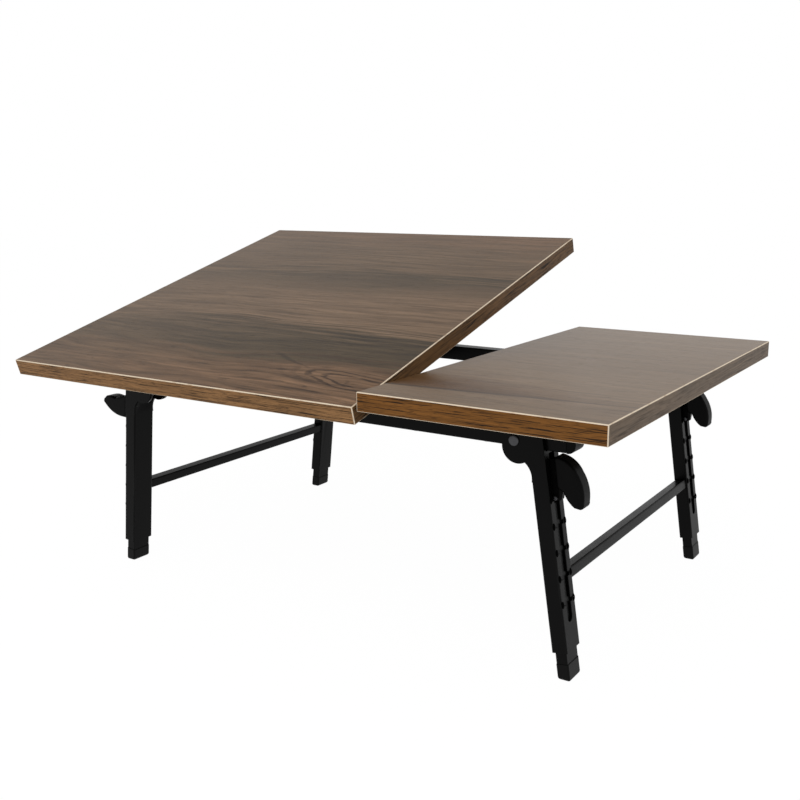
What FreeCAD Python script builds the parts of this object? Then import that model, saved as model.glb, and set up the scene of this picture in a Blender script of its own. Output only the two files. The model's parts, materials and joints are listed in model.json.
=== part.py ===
import FreeCAD, Part
import math
import os
from FreeCAD import Vector

os.makedirs("parts", exist_ok=True)

# Laptop table: a tilting board and a fixed board on a folding frame with four
# telescopic legs. Millimetres and degrees. +X right, +Y back, +Z up.
# The origin is on the floor, under the middle of the table's outer box.

# Boards
TABLE_WIDTH = 600.0
TABLE_DEPTH = 400.0
TABLE_HEIGHT = 213.0
FIXED_WIDTH = 200.0
BOARD_GAP = 2.0
BOARD_THICK = 15.0
BAND_THICK = 0.8

# Tilt of the left board, and where its hinge axis lies
TILT_DEG = 15.3
TILT_MAX_DEG = 30.0
HINGE_BACK = 40.5
HINGE_OUTBOARD = 16.0
HINGE_INSET = 104.0
HINGE_LENGTH = 26.0
KNUCKLE_R = 3.4
HINGE_PIN_R = 1.6
LEAF_THICK = 1.5
LEAF_DEPTH = 14.0
LEAF_SCREW_SPACING = 14.0
LEAF_SCREW_R = 1.5
LEAF_SCREW_LENGTH = 4.0
LEAF_SCREW_HEAD_R = 2.55
LEAF_SCREW_HEAD = 0.9

# Frame of square tube under the boards
RAIL = 15.0
RAIL_WALL = 1.2
RAIL_OVERHANG = 40.0
RAIL_INSET = 47.5
RAIL_GAP = 7.5
PLUG_HEAD = 7.0
PLUG_STEM = 12.0
PLUG_ROUND = 6.0
MEMBER_INBOARD = 27.0
MEMBER_SPACING = 104.0
FIXED_MEMBER_INBOARD = 58.0
SPACER_INSET = 18.0
SPACER_INBOARD = 28.0
SPACER_LENGTH = 24.0
PANEL_SCREW_R = 2.0
PANEL_SCREW_HEAD_R = 4.0
PANEL_SCREW_HEAD = 1.5
PANEL_SCREW_BITE = 10.0
PAD_R = 6.0
PAD_INBOARD = 60.0

# Curved stays that hold the tilted board
STAY_RADIUS = 120.0
STAY_WIDTH = 14.0
STAY_THICK = 3.0
STAY_SPARE_DEG = 10.0
STAY_FLANGE_WIDTH = 16.0
STAY_FLANGE_DEPTH = 34.0
STAY_FLANGE_THICK = 2.0
STAY_SCREW_SPACING = 24.0
STAY_SCREW_R = 1.6
STAY_SCREW_HEAD_R = 3.2
STAY_SCREW_HEAD = 1.8
STAY_SCREW_BITE = 9.0
GUIDE_WIDTH = 12.5
GUIDE_DEPTH = 38.0
GUIDE_SCREW_SPACING = 29.0

# Legs: the pivot bolt lies in the rail, inboard of the leg
PIVOT_INSET_LEFT = 120.0
PIVOT_INSET_RIGHT = 90.5
PIVOT_DROP = 9.5
LEAN_DEG = {"left": 6.8, "right": 8.5}
LEG_OFFSET = 16.8
SLEEVE_THICK = 12.8
SLEEVE_WIDTH = 23.0
SLEEVE_REVEAL = 22.7
SLEEVE_SIDE_WALL = 1.9
SLEEVE_FACE_WALL = 1.5
SLEEVE_TOP_WALL = 2.2
SLEEVE_ROUND = 1.4
LOBE_R = 12.6
LOBE_OUT = 2.0
LOBE_DOWN = 5.0
CHEEK_TOP = 5.0
CHEEK_THROAT = 14.0
BOLT_R = 2.5
BOLT_HEAD_R = 4.1
BOLT_HEAD = 2.4
NUT_R = 4.6
NUT_THICK = 3.6
BUSH_R = 4.0

# Height adjuster: slot, notches, sliding leg, lever
NOTCH_FIRST = 45.5
NOTCH_COUNT = 5
NOTCH_DEPTH = 3.0
SLOT_WIDTH = 8.0
SLOT_TAIL = 16.0
SLOT_MARGIN = 21.3
FOOT_CAP = 13.0
CAP_PROUD = 0.5
LEVER_PIN_R = 1.5
LEVER_PIN_U = 19.0
LOCK_PIN_R = 1.5
TONGUE_THICK = 7.0
TONGUE_RIM = 2.4
TONGUE_LAP = 2.0
FORK_SPARE = 2.0
WING_WIDTH = 14.0
WING_STANDOFF = 4.2
WING_NAPE = -4.6
WING_CROWN = (13.0, -5.4)
WING_BACK = (22.0, -0.6)
WING_SHOULDER = (27.9, 8.3)
WING_BELLY = (31.2, 21.0)
WING_FLANK = (30.2, 30.6)
WING_TIP_ROUND = (29.2, 33.4)
WING_TIP = (26.6, 34.4)
WING_HEEL = (22.4, 33.2)
WING_PALM = (18.0, 28.0)
WING_CROTCH = (15.2, 21.4)
WING_ROOT = 18.0
WING_CHIN = 20.6
WING_FLIP_DEG = 31.5
LEVER_SHUT_DEG = 6.0

# Bar between the front and rear sleeve of each end
BAR_RISE = 55.1
BAR_WIDTH = 10.0
BAR_HEIGHT = 9.0
BAR_WALL = 1.2
BAR_SEAT = 1.0

# Clearances
CLEAR = 0.3
FIT = 0.05
HOLE_SPARE = 1.0

# Places that follow from the driving dimensions
top_z = TABLE_HEIGHT
under_z = top_z - BOARD_THICK
rail_top = under_z - RAIL_GAP
rail_bottom = rail_top - RAIL
axis_z = under_z - RAIL_GAP / 2
tilt_rad = math.radians(TILT_DEG)
front_reach = HINGE_BACK * (1 - math.cos(tilt_rad)) - (top_z - axis_z) * math.sin(tilt_rad)
front_y = -(TABLE_DEPTH + min(0.0, front_reach)) / 2
back_y = front_y + TABLE_DEPTH
axis_y = front_y + HINGE_BACK
stay_sweep = TILT_MAX_DEG + STAY_SPARE_DEG
left_x = -TABLE_WIDTH / 2
right_x = TABLE_WIDTH / 2
split_x = right_x - FIXED_WIDTH
tilt_right_x = split_x - BOARD_GAP
pivot_x = {"left": left_x + PIVOT_INSET_LEFT, "right": right_x - PIVOT_INSET_RIGHT}
front_rail_y = front_y + RAIL_INSET + RAIL / 2
rear_rail_y = back_y - RAIL_INSET - RAIL / 2
pivot_z = rail_top - PIVOT_DROP
lean_rad = math.radians(max(LEAN_DEG.values()))
sleeve_in = LEG_OFFSET - SLEEVE_THICK / 2
sleeve_out = LEG_OFFSET + SLEEVE_THICK / 2
stop_drop = pivot_z - rail_bottom + CLEAR
sleeve_top = (sleeve_out * math.sin(lean_rad) + stop_drop) / math.cos(lean_rad)
cavity_top = sleeve_top + SLEEVE_TOP_WALL
inner_thick = SLEEVE_THICK - 2 * SLEEVE_FACE_WALL - 2 * CLEAR
inner_width = SLEEVE_WIDTH - 2 * SLEEVE_SIDE_WALL - 2 * CLEAR
sole_u = (pivot_z + LEG_OFFSET * math.sin(lean_rad)) / math.cos(lean_rad)
sleeve_end = sole_u - SLEEVE_REVEAL
bar_u = sleeve_end - BAR_RISE
slot_end = sleeve_end - SLOT_MARGIN
notch_pitch = (slot_end - SLOT_TAIL - NOTCH_FIRST) / (NOTCH_COUNT - 1)
lock_w = sleeve_out - SLEEVE_FACE_WALL / 2 - LEG_OFFSET
lock_u = NOTCH_FIRST - LEVER_PIN_U
lock_reach = math.hypot(lock_w, lock_u)
lock_angle = math.atan2(lock_u, lock_w) - math.radians(LEVER_SHUT_DEG)
lock_rest = (lock_reach * math.cos(lock_angle), lock_reach * math.sin(lock_angle))
X = Vector(1, 0, 0)
Y = Vector(0, 1, 0)
Z = Vector(0, 0, 1)
ORIGIN = Vector(0, 0, 0)


def box(x0, x1, y0, y1, z0, z1):
    """Block between two corners."""
    return Part.makeBox(x1 - x0, y1 - y0, z1 - z0, Vector(x0, y0, z0))


def rod(radius, start, direction, length):
    """Round bar from a point along a direction."""
    return Part.makeCylinder(radius, length, Vector(*start), direction)


def slab(outline, y0, y1):
    """Extrude a closed outline in XZ along Y. A corner is a pair; an arc is a pair of pairs."""
    edges = []
    here = Vector(outline[0][0], 0, outline[0][1])
    for step in outline[1:] + outline[:1]:
        if isinstance(step[0], tuple):
            middle = Vector(step[0][0], 0, step[0][1])
            there = Vector(step[1][0], 0, step[1][1])
            edges.append(Part.Arc(here, middle, there).toShape())
        else:
            there = Vector(step[0], 0, step[1])
            edges.append(Part.makeLine(here, there))
        here = there
    face = Part.Face(Part.Wire(edges))
    solid = face.extrude(Vector(0, y1 - y0, 0))
    solid.translate(Vector(0, y0, 0))
    return solid


def tube_x(x0, x1, y, z_low, side, wall):
    """Square tube along X."""
    outer = box(x0, x1, y - side / 2, y + side / 2, z_low, z_low + side)
    hole = box(x0, x1, y - side / 2 + wall, y + side / 2 - wall, z_low + wall, z_low + side - wall)
    return outer.cut(hole)


def tilted(shape):
    """Turn a piece of the tilting board from flat to the angle at which it stands."""
    turned = shape.copy()
    turned.rotate(Vector(0, axis_y, axis_z), X, TILT_DEG)
    return turned


def save(node, *solids):
    """Write one node: a single solid, or a group of separate solids."""
    shape = solids[0] if len(solids) == 1 else Part.makeCompound(list(solids))
    shape.exportStep(os.path.join("parts", node + ".step"))
    volume = sum(solid.Volume for solid in shape.Solids)
    print(node, len(shape.Solids), "solids", round(volume, 1), "mm3", shape.isValid())


# Boards and their edge-band strips
def board(x0, x1, holes):
    """Core of a board, inside its edge bands, with blind screw holes from below."""
    core = box(x0 + BAND_THICK, x1 - BAND_THICK, front_y + BAND_THICK, back_y - BAND_THICK, under_z, top_z)
    for hole in holes:
        core = core.cut(hole)
    return core


def edge_bands(x0, x1):
    """Four strips round a board: long front and rear strips, side strips between them."""
    front = box(x0, x1, front_y, front_y + BAND_THICK, under_z, top_z)
    rear = box(x0, x1, back_y - BAND_THICK, back_y, under_z, top_z)
    left = box(x0, x0 + BAND_THICK, front_y + BAND_THICK, back_y - BAND_THICK, under_z, top_z)
    right = box(x1 - BAND_THICK, x1, front_y + BAND_THICK, back_y - BAND_THICK, under_z, top_z)
    return front, rear, left, right


def pan_screw(radius, head_r, head, x, y, z_seat, length):
    """Screw driven upwards, its head under z_seat."""
    shank = rod(radius, (x, y, z_seat), Z, length)
    return shank.fuse(rod(head_r, (x, y, z_seat - head), Z, head)).removeSplitter()


hinge_x = [pivot_x["left"] - HINGE_OUTBOARD, tilt_right_x - HINGE_INSET]
leaf_screw_x = [x + s * LEAF_SCREW_SPACING / 2 for x in hinge_x for s in (-1, 1)]
leaf_back_y = front_rail_y - RAIL / 2 + LEAF_DEPTH
leaf_screw_y = front_rail_y
stay_mid_y = axis_y + STAY_RADIUS
first_member_x = pivot_x["left"] + MEMBER_INBOARD
member_x = [first_member_x, first_member_x + MEMBER_SPACING]
stay_x = [member_x[0] + RAIL / 2 + GUIDE_WIDTH / 2, member_x[1] - RAIL / 2 - GUIDE_WIDTH / 2]
stay_screw_y = [stay_mid_y + s * STAY_SCREW_SPACING / 2 for s in (-1, 1)]
stay_screw_x = [x + s * (STAY_FLANGE_WIDTH / 2 - STAY_SCREW_HEAD_R) for x, s in zip(stay_x, (-1, 1))]

# Fixed board on its spacers
spacer_x = [split_x + SPACER_INSET, pivot_x["right"] - SPACER_INBOARD]
panel_spots = [(x, y) for x in spacer_x for y in (front_rail_y, rear_rail_y)]
panel_depth = PANEL_SCREW_BITE + HOLE_SPARE
panel_bore = [rod(PANEL_SCREW_R + FIT, (x, y, under_z), Z, panel_depth) for x, y in panel_spots]
save("fixed_board", board(split_x, right_x, panel_bore))
save("fixed_board_edge_bands", *edge_bands(split_x, right_x))

spacers = []
panel_screws = []
for x, y in panel_spots:
    block = box(x - SPACER_LENGTH / 2, x + SPACER_LENGTH / 2, y - RAIL / 2, y + RAIL / 2, rail_top, under_z)
    spacers.append(block.cut(rod(PANEL_SCREW_R + FIT, (x, y, rail_top), Z, RAIL_GAP)))
    length = RAIL + RAIL_GAP + PANEL_SCREW_BITE
    screw = pan_screw(PANEL_SCREW_R, PANEL_SCREW_HEAD_R, PANEL_SCREW_HEAD, x, y, rail_bottom, length)
    panel_screws.append(screw)
save("board_spacers", *spacers)
save("board_screws", *panel_screws)

# Tilting board, drawn flat and then turned
leaf_depth = LEAF_SCREW_LENGTH + HOLE_SPARE
leaf_bore = [rod(LEAF_SCREW_R + FIT, (x, leaf_screw_y, under_z), Z, leaf_depth) for x in leaf_screw_x]
stay_spots = [(x, y) for x in stay_screw_x for y in stay_screw_y]
stay_depth = STAY_SCREW_BITE + HOLE_SPARE
stay_bore = [rod(STAY_SCREW_R + FIT, (x, y, under_z), Z, stay_depth) for x, y in stay_spots]
save("tilting_board", tilted(board(left_x, tilt_right_x, leaf_bore + stay_bore)))
save("tilting_board_edge_bands", *[tilted(strip) for strip in edge_bands(left_x, tilt_right_x)])


# Hinges: two outer knuckles on the rail leaf, one middle knuckle on the board leaf
knuckle = HINGE_LENGTH / 3


def knuckle_x(x, start, length):
    """Knuckle along X with its pin bore."""
    outer = rod(KNUCKLE_R, (x + start, axis_y, axis_z), X, length)
    return outer.cut(rod(HINGE_PIN_R + FIT, (x + start, axis_y, axis_z), X, length))


def leaf_screw_cut(shape, x, z_low):
    """Screw holes of one leaf."""
    for s in (-1, 1):
        start = (x + s * LEAF_SCREW_SPACING / 2, leaf_screw_y, z_low)
        shape = shape.cut(rod(LEAF_SCREW_R + FIT, start, Z, LEAF_THICK))
    return shape


def rail_leaf(x):
    """Leaf on the rail's top face, reaching forward to its two outer knuckles."""
    half = HINGE_LENGTH / 2
    leaf = box(x - half, x + half, front_rail_y - RAIL / 2, leaf_back_y, rail_top, rail_top + LEAF_THICK)
    for start in (-half, half - knuckle + CLEAR):
        length = knuckle - CLEAR
        lug = box(x + start, x + start + length, axis_y, front_rail_y, rail_top, rail_top + LEAF_THICK)
        lug = lug.cut(rod(HINGE_PIN_R + FIT, (x + start, axis_y, axis_z), X, length))
        leaf = leaf.fuse(lug).fuse(knuckle_x(x, start, length))
    return leaf_screw_cut(leaf, x, rail_top).removeSplitter()


def board_leaf(x):
    """Leaf under the board, drawn flat, with the middle knuckle."""
    half = HINGE_LENGTH / 2
    leaf = box(x - half, x + half, axis_y + KNUCKLE_R + CLEAR, leaf_back_y, under_z - LEAF_THICK, under_z)
    lug = box(x - knuckle / 2, x + knuckle / 2, axis_y, leaf_back_y, under_z - LEAF_THICK, under_z)
    lug = lug.cut(rod(HINGE_PIN_R + FIT, (x - knuckle / 2, axis_y, axis_z), X, knuckle))
    leaf = leaf.fuse(lug).fuse(knuckle_x(x, -knuckle / 2, knuckle))
    return leaf_screw_cut(leaf, x, under_z - LEAF_THICK).removeSplitter()


def leaf_screw(x, z_seat, way):
    """Screw through a leaf: a low head on the leaf's open face, driven up or down."""
    direction = Z * way
    shank = rod(LEAF_SCREW_R, (x, leaf_screw_y, z_seat), direction, LEAF_THICK + LEAF_SCREW_LENGTH)
    head = rod(LEAF_SCREW_HEAD_R, (x, leaf_screw_y, z_seat), direction * -1, LEAF_SCREW_HEAD)
    return shank.fuse(head).removeSplitter()


save("hinge_rail_leaves", *[rail_leaf(x) for x in hinge_x])
save("hinge_board_leaves", *[tilted(board_leaf(x)) for x in hinge_x])
pin_starts = [(x - HINGE_LENGTH / 2, axis_y, axis_z) for x in hinge_x]
save("hinge_pins", *[rod(HINGE_PIN_R, start, X, HINGE_LENGTH) for start in pin_starts])
save("hinge_rail_screws", *[leaf_screw(x, rail_top + LEAF_THICK, -1) for x in leaf_screw_x])
save("hinge_board_screws", *[tilted(leaf_screw(x, under_z - LEAF_THICK, 1)) for x in leaf_screw_x])


# Rails, plugs and cross members
rail_x0 = pivot_x["left"] - RAIL_OVERHANG
rail_x1 = pivot_x["right"] + RAIL_OVERHANG


def rail(y):
    """Rail with its bolt and screw holes."""
    tube = tube_x(rail_x0, rail_x1, y, rail_bottom, RAIL, RAIL_WALL)
    for x in pivot_x.values():
        tube = tube.cut(rod(BOLT_R + FIT, (x, y - RAIL / 2, pivot_z), Y, RAIL))
    for x in spacer_x:
        tube = tube.cut(rod(PANEL_SCREW_R + FIT, (x, y, rail_bottom), Z, RAIL))
    if y == front_rail_y:
        for x in leaf_screw_x:
            tube = tube.cut(rod(LEAF_SCREW_R + FIT, (x, y, rail_top - RAIL_WALL), Z, RAIL_WALL))
    return tube


def end_plug(x_face, way, y):
    """Plug in a rail's open end, its head rounded below."""
    inner = RAIL / 2 - RAIL_WALL - FIT
    head = box(min(x_face, x_face + way * PLUG_HEAD), max(x_face, x_face + way * PLUG_HEAD),
               y - RAIL / 2, y + RAIL / 2, rail_bottom, rail_top)
    edge_x = x_face + way * PLUG_HEAD
    low = [e for e in head.Edges
           if all(abs(v.X - edge_x) < 1e-6 and abs(v.Z - rail_bottom) < 1e-6 for v in e.Vertexes)]
    head = head.makeFillet(min(PLUG_ROUND, PLUG_HEAD * 0.9), low)
    stem = box(min(x_face, x_face - way * PLUG_STEM), max(x_face, x_face - way * PLUG_STEM),
               y - inner, y + inner, rail_bottom + RAIL_WALL + FIT, rail_top - RAIL_WALL - FIT)
    return head.fuse(stem).removeSplitter()


def member(x):
    """Cross member between the rails."""
    y0 = front_rail_y + RAIL / 2
    y1 = rear_rail_y - RAIL / 2
    outer = box(x - RAIL / 2, x + RAIL / 2, y0, y1, rail_bottom, rail_top)
    hole = box(x - RAIL / 2 + RAIL_WALL, x + RAIL / 2 - RAIL_WALL, y0, y1,
               rail_bottom + RAIL_WALL, rail_top - RAIL_WALL)
    return outer.cut(hole)


save("front_rail", rail(front_rail_y))
save("rear_rail", rail(rear_rail_y))
save("rail_end_plugs", *[end_plug(x, way, y) for y in (front_rail_y, rear_rail_y)
                         for x, way in ((rail_x0, -1), (rail_x1, 1))])

# Stays: an arc about the hinge axis under a screwed flange, running in a slotted guide
guide_y0 = stay_mid_y - GUIDE_DEPTH / 2
guide_y1 = stay_mid_y + GUIDE_DEPTH / 2
guide_mid_z = (rail_top + rail_bottom) / 2
guide_screw_y = [stay_mid_y + s * GUIDE_SCREW_SPACING / 2 for s in (-1, 1)]


def stay_arc(x, width, thick, start, sweep):
    """Flat ring sector about the hinge axis, hanging from the angle start."""
    radius = STAY_RADIUS + width / 2
    ring = Part.makeCylinder(radius, thick, Vector(x - thick / 2, axis_y, axis_z), X, sweep)
    core = Part.makeCylinder(radius - width, thick, Vector(x - thick / 2, axis_y, axis_z), X, 360)
    ring = ring.cut(core)
    facing = ring.Solids[0].CenterOfMass - Vector(x, axis_y, axis_z)
    now = math.degrees(math.atan2(facing.z, facing.y))
    ring.rotate(Vector(x, axis_y, axis_z), X, start - sweep / 2 - now)
    return ring


def stay(x):
    """Stay drawn with the board flat."""
    flange_low = under_z - STAY_FLANGE_THICK
    half = STAY_FLANGE_WIDTH / 2
    flange = box(x - half, x + half, stay_mid_y - STAY_FLANGE_DEPTH / 2, stay_mid_y + STAY_FLANGE_DEPTH / 2,
                 flange_low, under_z)
    rise = math.degrees(math.atan2(under_z - axis_z, STAY_RADIUS - STAY_WIDTH / 2))
    arc = stay_arc(x, STAY_WIDTH, STAY_THICK, rise, stay_sweep + rise)
    above = box(x - half, x + half, axis_y, axis_y + 2 * STAY_RADIUS, under_z, under_z + STAY_RADIUS)
    body = flange.fuse(arc.cut(above)).removeSplitter()
    screw_x = stay_screw_x[stay_x.index(x)]
    for y in stay_screw_y:
        body = body.cut(rod(STAY_SCREW_R + FIT, (screw_x, y, flange_low), Z, STAY_FLANGE_THICK))
    return body


def guide(x):
    """Guide block on a cross member's side, slotted for its stay."""
    block = box(x - GUIDE_WIDTH / 2, x + GUIDE_WIDTH / 2, guide_y0, guide_y1, rail_bottom, rail_top)
    block = block.cut(stay_arc(x, STAY_WIDTH + 2 * CLEAR, STAY_THICK + 2 * CLEAR, stay_sweep, 2 * stay_sweep))
    for y in guide_screw_y:
        start = (x - GUIDE_WIDTH / 2, y, guide_mid_z)
        block = block.cut(rod(STAY_SCREW_R + FIT, start, X, GUIDE_WIDTH))
    return block


def guide_screw(x, way, y):
    """Screw through a guide into the member's wall, its head on the guide's free face."""
    face = x + way * GUIDE_WIDTH / 2
    shank = rod(STAY_SCREW_R, (face, y, guide_mid_z), X * -way, GUIDE_WIDTH + 2 * RAIL_WALL)
    head = rod(STAY_SCREW_HEAD_R, (face, y, guide_mid_z), X * way, STAY_SCREW_HEAD)
    return shank.fuse(head).removeSplitter()


for name, x, own_x, way in zip(("left", "right"), member_x, stay_x, (1, -1)):
    tube = member(x)
    for y in guide_screw_y:
        start = (x + way * RAIL / 2, y, guide_mid_z)
        tube = tube.cut(rod(STAY_SCREW_R + FIT, start, X * -way, RAIL_WALL))
    save("cross_member_" + name, tube)
    save("stay_guide_" + name, guide(own_x))
    save("tilt_stay_" + name, tilted(stay(own_x)))
save("cross_member_fixed_side", member(pivot_x["right"] - FIXED_MEMBER_INBOARD))
save("stay_guide_screws", *[guide_screw(x, way, y) for x, way in zip(stay_x, (1, -1)) for y in guide_screw_y])
save("stay_screws", *[tilted(pan_screw(STAY_SCREW_R, STAY_SCREW_HEAD_R, STAY_SCREW_HEAD, x, y,
                                       under_z - STAY_FLANGE_THICK, STAY_FLANGE_THICK + STAY_SCREW_BITE))
                      for x, y in stay_spots])
pad_x = [hinge_x[0], hinge_x[1] - PAD_INBOARD]
save("rest_pads", *[rod(PAD_R, (x, rear_rail_y, rail_top), Z, RAIL_GAP - CLEAR) for x in pad_x])


# Legs are drawn hanging straight down from the pivot at the origin: +X outwards, -Z down the leg,
# the middle of the leg at Y = 0. The front right leg is drawn; the others are mirrored.
def place(shape, side, end):
    """Put a drawn leg piece at one corner, leaning outwards."""
    moved = shape.copy()
    if side == "left":
        moved = moved.mirror(ORIGIN, X)
    if end == "rear":
        moved = moved.mirror(ORIGIN, Y)
    moved.rotate(ORIGIN, Y, LEAN_DEG[side] if side == "left" else -LEAN_DEG[side])
    moved.translate(Vector(pivot_x[side], front_rail_y if end == "front" else rear_rail_y, pivot_z))
    return moved


half_width = SLEEVE_WIDTH / 2
cheek_in = RAIL / 2 + CLEAR


def leg_head():
    """Two cheeks round the rail: a lobe about the bolt that runs in a hollow curve into the leg."""
    throat_u = LOBE_DOWN + LOBE_R + CHEEK_THROAT
    outline = [(LOBE_OUT, CHEEK_TOP), (sleeve_out, CHEEK_TOP)]
    outline += [(sleeve_out, -throat_u), (sleeve_in, -throat_u)]
    lobe_low = (LOBE_OUT + LOBE_R * 0.35, -LOBE_DOWN - LOBE_R * 0.93)
    bend = (sleeve_in - (sleeve_in - lobe_low[0]) * 0.22, lobe_low[1] - (throat_u + lobe_low[1]) * 0.30)
    outline.append((bend, lobe_low))
    neck = slab(outline, -half_width, half_width)
    lobe = rod(LOBE_R, (LOBE_OUT, -half_width, -LOBE_DOWN), Y, SLEEVE_WIDTH)
    body = neck.fuse(lobe)
    reach = LOBE_R + sleeve_out
    window = box(-reach, reach + sleeve_out, -cheek_in, cheek_in, -sleeve_top, reach)
    inner_low = box(-reach, sleeve_in, -cheek_in, cheek_in, -throat_u - LOBE_R, reach)
    body = body.cut(window).cut(inner_low)
    return body.cut(rod(BOLT_R + FIT, (0, -half_width, 0), Y, SLEEVE_WIDTH))


def sleeve():
    """Outer leg: head, closed top, hollow shaft, notched slot in the outer face, bar seat."""
    shaft = box(sleeve_in, sleeve_out, -half_width, half_width, -sleeve_end, -sleeve_top)
    corners = [e for e in shaft.Edges if abs(e.Vertexes[0].Z - e.Vertexes[1].Z) > sleeve_end / 2]
    shaft = shaft.makeFillet(SLEEVE_ROUND, corners)
    body = leg_head().fuse(shaft).removeSplitter()
    cavity = box(sleeve_in + SLEEVE_FACE_WALL, sleeve_out - SLEEVE_FACE_WALL,
                 -half_width + SLEEVE_SIDE_WALL, half_width - SLEEVE_SIDE_WALL, -sleeve_end, -cavity_top)
    body = body.cut(cavity)
    wall_in = sleeve_out - SLEEVE_FACE_WALL
    reach = SLEEVE_FACE_WALL + 1.0
    slot_r = SLOT_WIDTH / 2
    slot = box(wall_in, wall_in + reach, -slot_r, slot_r, -slot_end + slot_r, -cavity_top)
    slot = slot.fuse(rod(slot_r, (wall_in, 0, -slot_end + slot_r), X, reach))
    body = body.cut(slot)
    notch_r = LOCK_PIN_R + CLEAR
    notch_half = slot_r + NOTCH_DEPTH
    for number in range(NOTCH_COUNT):
        u = NOTCH_FIRST + number * notch_pitch
        notch = box(wall_in, wall_in + reach, -notch_half, notch_half, -u - notch_r, -u + notch_r)
        body = body.cut(notch)
    seat_w = BAR_WIDTH / 2 + FIT
    seat_u = BAR_HEIGHT / 2 + FIT
    seat = box(LEG_OFFSET - seat_w, LEG_OFFSET + seat_w,
               half_width - BAR_SEAT, half_width, -bar_u - seat_u, -bar_u + seat_u)
    return body.cut(seat).removeSplitter()


fork_end = LEVER_PIN_U + lock_rest[1] + 2 * LOCK_PIN_R + FORK_SPARE
inner_top = cavity_top + CLEAR
inner_end = sole_u - FOOT_CAP / 2


def inner_leg():
    """Sliding leg with a fork at its top for the lever's tongue and a groove for the lock pin."""
    half_t = inner_thick / 2
    half_w = inner_width / 2
    bar = box(LEG_OFFSET - half_t, LEG_OFFSET + half_t, -half_w, half_w, -inner_end, -inner_top)
    half_fork = TONGUE_THICK / 2 + CLEAR
    fork = box(LEG_OFFSET - half_t, LEG_OFFSET + half_t, -half_fork, half_fork, -fork_end, -inner_top)
    seat = rod(LOCK_PIN_R + CLEAR, (LEG_OFFSET + lock_w, -half_w, -NOTCH_FIRST), Y, inner_width)
    bar = bar.cut(fork).cut(seat)
    return bar.cut(rod(LEVER_PIN_R + FIT, (LEG_OFFSET, -half_w, -LEVER_PIN_U), Y, inner_width))


def foot_cap():
    """Rubber cap round the inner leg's end; its sole is cut level with the floor afterwards."""
    half_t = inner_thick / 2
    half_w = inner_width / 2
    low = sole_u + inner_thick
    shell = box(LEG_OFFSET - half_t - CAP_PROUD, LEG_OFFSET + half_t + CAP_PROUD,
                -half_w - CAP_PROUD, half_w + CAP_PROUD, -low, -sole_u + FOOT_CAP)
    corners = [e for e in shell.Edges if abs(e.Vertexes[0].Z - e.Vertexes[1].Z) > FOOT_CAP / 2]
    shell = shell.makeFillet(SLEEVE_ROUND, corners)
    socket = box(LEG_OFFSET - half_t - FIT, LEG_OFFSET + half_t + FIT,
                 -half_w - FIT, half_w + FIT, -inner_end, -sole_u + FOOT_CAP)
    return shell.cut(socket)


def lever_point(w, u):
    """Point of the lever, given out and down from its pin."""
    return (LEG_OFFSET + w, -LEVER_PIN_U - u)


eye_r = LEVER_PIN_R * 2
wing_start = sleeve_out - LEG_OFFSET + WING_STANDOFF


def on_lever(stop):
    """A corner of the wing, or the middle and end of an arc, placed from the lever's pin."""
    if isinstance(stop[0], tuple):
        return tuple(lever_point(*q) for q in stop)
    return lever_point(*stop)


def flipped(point):
    """A wing point mirrored across the line that the left levers are turned over about."""
    w, u = point
    turn = math.radians(2 * WING_FLIP_DEG)
    return (w * math.cos(turn) + u * math.sin(turn), w * math.sin(turn) - u * math.cos(turn))


def wing_outline(side):
    """Outline of the finger wing: tip down on the right legs, turned over on the left legs."""
    if side == "right":
        stops = [(wing_start, WING_NAPE), WING_CROWN, (WING_BACK, WING_SHOULDER), (WING_BELLY, WING_FLANK),
                 (WING_TIP_ROUND, WING_TIP), WING_HEEL, (WING_PALM, WING_CROTCH), (wing_start, WING_ROOT)]
    else:
        crotch, palm, heel, tip = [flipped(q) for q in (WING_CROTCH, WING_PALM, WING_HEEL, WING_TIP)]
        tip_round, flank = flipped(WING_TIP_ROUND), flipped(WING_FLANK)
        belly, shoulder = flipped(WING_BELLY), flipped(WING_SHOULDER)
        stops = [(wing_start, -eye_r), crotch, (palm, heel), tip, (tip_round, flank), (belly, shoulder),
                 (wing_start, WING_CHIN)]
    return [on_lever(stop) for stop in stops]


def lever(side):
    """Lever: an eye and tongue in the slot, and a broad finger wing outside it."""
    p = lever_point
    lock_w0, lock_u0 = lock_rest
    lap = wing_start + TONGUE_LAP
    tongue_outline = [p(0, -eye_r), p(lap, -eye_r), p(lap, lock_u0 - eye_r - TONGUE_RIM / 2),
                      p(lock_w0 + TONGUE_RIM, lock_u0 + TONGUE_RIM),
                      p(lock_w0 - TONGUE_RIM, lock_u0 + TONGUE_RIM), p(-eye_r * 0.9, eye_r * 0.4)]
    half_t = TONGUE_THICK / 2
    tongue = slab(tongue_outline, -half_t, half_t)
    tongue = tongue.fuse(rod(eye_r, (LEG_OFFSET, -half_t, -LEVER_PIN_U), Y, TONGUE_THICK))
    wing = slab(wing_outline(side), -WING_WIDTH / 2, WING_WIDTH / 2)
    body = tongue.fuse(wing).removeSplitter()
    body = body.cut(rod(LEVER_PIN_R + FIT, (LEG_OFFSET, -half_t, -LEVER_PIN_U), Y, TONGUE_THICK))
    lock_x, lock_z = p(*lock_rest)
    return body.cut(rod(LOCK_PIN_R, (lock_x, -WING_WIDTH / 2, lock_z), Y, WING_WIDTH))


def lock_pin():
    """Cross pin in the lever that drops into a pair of notches."""
    lock_x, lock_z = lever_point(*lock_rest)
    length = SLOT_WIDTH + 2 * NOTCH_DEPTH - 2 * CLEAR
    return rod(LOCK_PIN_R, (lock_x, -length / 2, lock_z), Y, length)


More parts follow.
